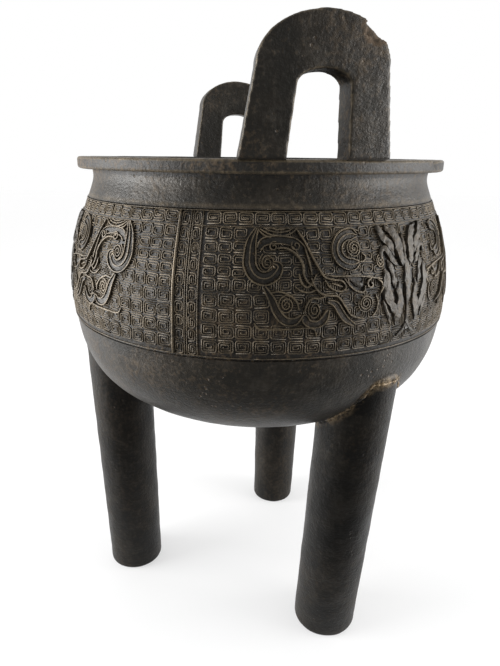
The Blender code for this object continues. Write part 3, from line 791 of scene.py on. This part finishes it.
def makeGround():
    draw = random.Random(spiral["seed"])
    noise.seed_set(spiral["seed"])  # noise_vector would start from the clock
    strokes = np.concatenate([railPath(stroke[2]) for stroke in (*mask.values(), *middle.values())])
    perDegree = math.radians(1) * frieze["radius"] / mm
    pieces = []
    for number, azimuth in enumerate(frieze["maskAzimuths"]):
        around = [((stop - azimuth + 180) % 360 - 180) * perDegree for stop in frieze["dividerAzimuths"]]
        start = max(a for a in around if a < 0) + divider["groove"] + spiral["gapAfterDivider"]
        end = min(a for a in around if a > 0) + divider["rib"] - spiral["gapBeforeDivider"]
        copies = []
        rows = list(zip(spiral["rows"][1:], spiral["rows"])) + [spiral["borderRow"]]
        for row, (low, high) in enumerate(rows):
            count = round((end - start) / spiral["columns"][0 if row < spiral["narrowRows"] else 1])
            pitch = (end - start) / count
            unit = spiralUnit(pitch, high - low)
            up = (low + high) / 2
            for k in range(count):
                across = start + (k + 0.5) * pitch
                away = (np.hypot(strokes[:, 0] - abs(across), strokes[:, 1] - up) - strokes[:, 2]).min()
                copy = laySpiral(unit, azimuth, across, up, draw)
                if away < -spiral["buried"]:
                    bpy.data.objects.remove(copy, do_unlink=True)
                else:
                    copies.append(copy)
            bpy.data.objects.remove(unit, do_unlink=True)
        piece = joinAll(copies, f"spiralGround{number}")
        tidyNormals(piece)
        pieces.append(piece)
        print("ground", number, len(copies), "spirals", len(piece.data.polygons), "faces")
    return pieces


def makeBorders():
    draw = random.Random(spiral["seed"] + 1)
    noise.seed_set(spiral["seed"] + 1)
    top, foot = frieze["topLineUp"], frieze["footLineUp"]
    d = divider

    def upright(across, halfWidth):
        rise = (top - foot) / d["steps"]
        return [(across, foot + rise * k, halfWidth) for k in range(d["steps"] + 1)]

    rib = makeRails("rib", [upright(d["rib"], d["ribHalfWidth"])], relief["bedRound"])
    rib = raised(rib, d["ribLift"], d["ribWorn"])
    lineAcross = (d["middle"] - d["beforeMiddle"], d["middle"] + d["afterMiddle"],
                  d["groove"] - d["beforeGroove"])
    paths = [upright(across, d["lineHalfWidth"]) for across in lineAcross]
    lines = raised(makeRails("lines", paths, relief["lineRound"]), d["lineLift"], d["lineWorn"])
    first = (d["rib"] + d["ribGap"], lineAcross[0] - d["cellGap"])
    second = (lineAcross[1] + d["cellGap"], lineAcross[2] - d["cellGap"])
    rows = round((top - foot) / d["rowHeight"])
    height = (top - foot) / rows
    copies = []
    for azimuth in frieze["dividerAzimuths"]:
        copies += [laid(rib, azimuth, 1), laid(lines, azimuth, 1)]
        for left, right in (first, second):
            unit = spiralUnit(right - left, height)
            for k in range(rows):
                copies.append(laySpiral(unit, azimuth, (left + right) / 2, foot + (k + 0.5) * height, draw))
            bpy.data.objects.remove(unit, do_unlink=True)
    for flat in (rib, lines):
        bpy.data.objects.remove(flat, do_unlink=True)
    circle, turns = 2 * math.pi * frieze["radius"] / mm, d["ringTurns"]
    rings = []
    for up in (frieze["borderLineUp"], top + frieze["topRingOver"], foot):
        rings.append([(circle * k / turns, up, d["ringHalfWidth"]) for k in range(turns + 1)])
    flat = raised(makeRails("rings", rings, relief["lineRound"]), d["lineLift"], d["lineWorn"])
    copies.append(laid(flat, 0, 1))
    bpy.data.objects.remove(flat, do_unlink=True)
    piece = joinAll(copies, "borders")
    tidyNormals(piece)
    return piece


# Bronze

class Wire:  # a socket that takes part in sums
    def __init__(self, tree, socket):
        self.tree = tree
        self.socket = socket

    def sum(self, operation, *others):
        step = self.tree.nodes.new("ShaderNodeMath")
        step.operation = operation
        for k, value in enumerate((self,) + others):
            if isinstance(value, Wire):
                self.tree.links.new(value.socket, step.inputs[k])
            else:
                step.inputs[k].default_value = value
        return Wire(self.tree, step.outputs[0])

    def __add__(self, other):
        return self.sum("ADD", other)

    def __mul__(self, other):
        return self.sum("MULTIPLY", other)

    def __sub__(self, other):
        return self.sum("SUBTRACT", other)

    def __rsub__(self, other):
        return (self * -1.0) + other

    __radd__ = __add__
    __rmul__ = __mul__

    def held(self):
        return self.sum("MINIMUM", 1.0).sum("MAXIMUM", 0.0)

    def from0to1(self, low, high):
        return ((self - low) * (1.0 / (high - low))).held()


class Finish:
    def __init__(self, name):
        self.material = bpy.data.materials.new(name)
        self.material.use_nodes = True
        self.tree = self.material.node_tree
        self.shader = self.tree.nodes["Principled BSDF"]

    def node(self, kind, output=0, settings=None, **inputs):
        made = self.tree.nodes.new("ShaderNode" + kind)
        for key, value in (settings or {}).items():
            setattr(made, key, value)
        for key, value in inputs.items():
            socket = made.inputs[int(key[1:])] if key[0] == "i" and key[1:].isdigit() else made.inputs[key]
            if isinstance(value, Wire):
                self.tree.links.new(value.socket, socket)
            else:
                socket.default_value = value
        return Wire(self.tree, made.outputs[output])

    def mixColour(self, share, first, second):
        return self.node("Mix", 2, {"data_type": "RGBA"}, i0=share, i6=first, i7=second)

    def feed(self, **inputs):
        for key, value in inputs.items():
            socket = self.shader.inputs[key.replace("_", " ")]
            if isinstance(value, Wire):
                self.tree.links.new(value.socket, socket)
            else:
                socket.default_value = value


bronze = {
    "dark": (0.0170, 0.0150, 0.0117, 1), "brown": (0.0270, 0.0215, 0.0150, 1), "brownFrom": (0.44, 0.58),
    "grey": (0.061, 0.055, 0.046, 1), "greyFrom": (0.49, 0.60), "greyShare": 0.42,
    "grimeAndShade": (0.0078, 0.0057, 0.0036, 1), "grimeAndShadeFrom": (0.40, 0.56),
    "earth": (0.165, 0.110, 0.058, 1), "earthFrom": (0.52, 0.64), "earthShare": 0.25, "earthInDirt": 0.28,
    "wornAndLit": (0.190, 0.146, 0.090, 1), "wornFrom": (0.30, 0.58), "wornShare": 0.85,
    "pit": 0.20, "pitEdge": 0.07, "pitFrom": (0.54, 0.66), "pitShare": 0.35,
    "residue": (0.30, 0.215, 0.12, 1), "residueNear": (0.42, 0.90), "residueFrom": (0.42, 0.54),
    "residueShare": 0.85,
    "raw": (0.115, 0.080, 0.052, 1), "rawFrom": (0.35, 0.60), "metal": 0.30, "mirror": 0.42,
}
# The legs get a darker copy of the bronze: soot together with painted shade.
sootAndShade = {"dark": (0.0055, 0.0050, 0.0042, 1), "brown": (0.0105, 0.0084, 0.0058, 1),
        "grey": (0.024, 0.022, 0.019, 1), "earth": (0.055, 0.038, 0.022, 1), "mirror": 0.23}


def bronzeFinish(name, tones):
    f = Finish(name)
    place = f.node("TexCoord", 3)
    dirtAndShade = f.node("Attribute", 2, {"attribute_name": "dirtAndShade"})
    wornAndLitShare = f.node("Attribute", 2, {"attribute_name": "wornAndLit"})
    raw = f.node("Attribute", 2, {"attribute_name": "raw"})
    stain = f.node("Attribute", 2, {"attribute_name": "stain"})
    cloud = f.node("TexNoise", 0, None, Vector=place, Scale=26.0, Detail=5.0, Roughness=0.6)
    blotch = f.node("TexNoise", 0, None, Vector=place, Scale=95.0, Detail=6.0, Roughness=0.62)
    fine = f.node("TexNoise", 0, None, Vector=place, Scale=620.0, Detail=4.0, Roughness=0.6)
    grit = f.node("TexNoise", 0, None, Vector=place, Scale=1500.0, Detail=3.0, Roughness=0.6)
    upright = f.node("Mapping", 0, None, Vector=place, Scale=(1.0, 1.0, 0.16))
    streak = f.node("TexNoise", 0, None, Vector=upright, Scale=900.0, Detail=3.0, Roughness=0.55)
    aslant = f.node("Mapping", 0, None, Vector=place, Scale=(0.35, 1.0, 1.0), Rotation=(0.0, 0.5, 0.9))
    scratches = f.node("TexNoise", 0, None, Vector=aslant, Scale=1100.0, Detail=2.0, Roughness=0.5)
    pits = f.node("TexVoronoi", 0, {"feature": "F1"}, Vector=place, Scale=330.0, Randomness=1.0)
    pitField = f.node("TexNoise", 0, None, Vector=place, Scale=45.0, Detail=2.0)

    t = tones
    brownish = (cloud * 0.4 + blotch * 0.6).from0to1(*t["brownFrom"])
    colour = f.mixColour(brownish, t["dark"], t["brown"])
    greyish = (blotch * 0.5 + streak * 0.2 + fine * 0.3).from0to1(*t["greyFrom"]) * t["greyShare"]
    colour = f.mixColour(greyish, colour, t["grey"])
    # This dark colour is painted shade in the hollows as well as real grime.
    patchy = blotch.from0to1(*t["grimeAndShadeFrom"]) * 0.45 + 0.50
    colour = f.mixColour(dirtAndShade * patchy, colour, t["grimeAndShade"])
    earthy = (fine * 0.55 + cloud * 0.45).from0to1(*t["earthFrom"])
    colour = f.mixColour(earthy * (t["earthShare"] + dirtAndShade * t["earthInDirt"]), colour, t["earth"])
    # The worn colour shows real wear and, on the frieze's flanks, painted light.
    wornAndLitMix = wornAndLitShare * (fine * 0.5 + blotch * 0.5).from0to1(*t["wornFrom"]) * t["wornShare"]
    colour = f.mixColour(wornAndLitMix, colour, t["wornAndLit"])
    pitted = (t["pit"] - pits).from0to1(0.0, t["pitEdge"]) * pitField.from0to1(*t["pitFrom"])
    colour = f.mixColour(pitted * t["pitShare"], colour, t["earth"])
    stained = stain.from0to1(*t["residueNear"]) * (fine * 0.5 + blotch * 0.5).from0to1(*t["residueFrom"])
    colour = f.mixColour(stained * t["residueShare"], colour, t["residue"])
    colour = f.mixColour(raw * (fine.from0to1(*t["rawFrom"]) * 0.7 + 0.2), colour, t["raw"])
    rough = 0.32 + fine * 0.24 + dirtAndShade * 0.12 + (cloud - 0.5) * 0.40 + raw * 0.3
    height = fine * 0.6 + grit * 0.35 + streak * 0.20 + scratches * 0.35 + blotch * 1.2 - pitted * 0.7
    bump = f.node("Bump", 0, None, Height=height, Distance=0.00040, Strength=0.8)
    f.feed(Base_Color=colour, Roughness=rough.held(), Metallic=(1 - dirtAndShade) * t["metal"], Normal=bump,
           Specular_IOR_Level=t["mirror"])
    return f.material


# Floor, light and camera

studio = {"floorSize": 6.0, "aim": (0, 0, 0.13), "lens": 28.17, "sensor": 36.0, "distance": 0.25166,
          "above": 0.001024, "yaw": -1.07, "pitch": 18.21, "roll": 0.62,
          "shiftX": 0.00378, "shiftY": -0.00932}


def makeCamera():
    data = bpy.data.cameras.new("camera")
    camera = bpy.data.objects.new("camera", data)
    bpy.context.scene.collection.objects.link(camera)
    yaw, pitch, roll = (math.radians(studio[key]) for key in ("yaw", "pitch", "roll"))
    camera.location = (0.0, -studio["distance"], rimHeight + studio["above"])
    turnRound = Matrix.Rotation(-yaw, 4, "Z")
    look = Matrix.Rotation(math.radians(90) - pitch, 4, "X")
    camera.matrix_world = (Matrix.Translation(camera.location) @ turnRound @ look
                           @ Matrix.Rotation(roll, 4, "Z"))
    data.sensor_fit = "VERTICAL"
    data.sensor_height = studio["sensor"]
    data.lens = studio["lens"]
    data.shift_x = studio["shiftX"]
    data.shift_y = studio["shiftY"]
    data.clip_start = 0.01
    bpy.context.scene.camera = camera


def areaLight(name, place, size, power):
    data = bpy.data.lights.new(name, "AREA")
    data.shape = "RECTANGLE"
    data.size, data.size_y = size
    data.energy = power
    light = bpy.data.objects.new(name, data)
    light.location = place
    light.rotation_euler = (Vector(studio["aim"]) - Vector(place)).to_track_quat("-Z", "Y").to_euler()
    bpy.context.scene.collection.objects.link(light)


def makeWorld():
    world = bpy.data.worlds.new("whiteTent")
    bpy.context.scene.world = world
    world.use_nodes = True
    background = world.node_tree.nodes["Background"]
    background.inputs["Color"].default_value = (1, 1, 1, 1)
    background.inputs["Strength"].default_value = tent["white"]


tent = {"white": 1.0, "floorGlow": 0.53, "floorShade": 0.42,
        "softLeft": ((-0.75, -0.14, 0.18), (0.5, 0.5), 10.5),  # place, size, power
        "softRight": ((0.75, -0.10, 0.18), (0.5, 0.5), 7.0)}
flags = {"width": 1.3, "height": 1.4, "front": -0.75, "floorFrom": -0.085, "above": 0.0006, "shade": 0.002,
         "uprightGlow": 0.26, "lowGlow": 0.22}


def makeCard(name, middle, size, upright, glow):
    deselectAll()
    turn = (math.radians(90) if upright else 0, 0, 0)
    bpy.ops.mesh.primitive_plane_add(size=1.0, location=middle, rotation=turn)
    card = bpy.context.object
    card.name = name
    card.scale = (*size, 1.0)
    finish = Finish(name)
    finish.feed(Base_Color=(flags["shade"],) * 3 + (1,), Roughness=1.0, Specular_IOR_Level=0.0,
                Emission_Color=(1, 1, 1, 1), Emission_Strength=glow)
    card.data.materials.append(finish.material)
    return card


def makeStudio():
    deselectAll()
    bpy.ops.mesh.primitive_plane_add(size=studio["floorSize"], location=(0, 0, 0))
    floor = bpy.context.object
    floor.name = "floor"
    pale = Finish("paleFloor")
    pale.feed(Base_Color=(tent["floorShade"],) * 3 + (1,), Roughness=0.9, Emission_Color=(1, 1, 1, 1),
              Emission_Strength=tent["floorGlow"])
    floor.data.materials.append(pale.material)
    deep = flags["floorFrom"] - flags["front"]
    low = (0, flags["floorFrom"] - deep / 2, flags["above"])
    upright = (0, flags["front"], flags["height"] / 2)
    tall, flat = (flags["width"], flags["height"]), (flags["width"], deep)
    darkCards = [makeCard("uprightFlag", upright, tall, True, flags["uprightGlow"]),
                 makeCard("lowFlag", low, flat, False, flags["lowGlow"])]
    for card in darkCards:  # out of the picture, on the camera's side
        card.visible_camera = False
    makeCard("floorUnderFlag", (*low[:2], flags["above"] / 2), flat, False,
             tent["floorGlow"] + tent["floorShade"] * tent["white"])
    for name in ("softLeft", "softRight"):
        areaLight(name, *tent[name])
    makeWorld()
    bpy.context.scene.view_settings.view_transform = "Standard"


makeCamera()
makeStudio()
print("studio ready")
pieces = [makeBowl()]
print("bowl", len(pieces[0].data.polygons), "faces")
for name, leg in legs.items():
    pieces.append(makeLeg(name + "Leg", **leg))
    pieces.append(makeBead(name + "JointBead", legJoint(**leg)))
print("legs ready")
pieces.append(makeHandle("nearHandle", *handle["near"], True))
pieces.append(makeHandle("farHandle", *handle["far"], False))
print("handles ready", len(pieces[-1].data.polygons), "faces")
pieces += makeMasks()
pieces += makeGround()
pieces.append(makeBorders())
finish = bronzeFinish("patinatedBronze", bronze)
sootAndShadeFinish = bronzeFinish("sootAndShadeBronze", {**bronze, **sootAndShade})
for piece in pieces:
    piece.data.materials.clear()
    piece.data.materials.append(sootAndShadeFinish if piece.name.endswith("Leg") else finish)
    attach(piece, "root")
    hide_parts(node)
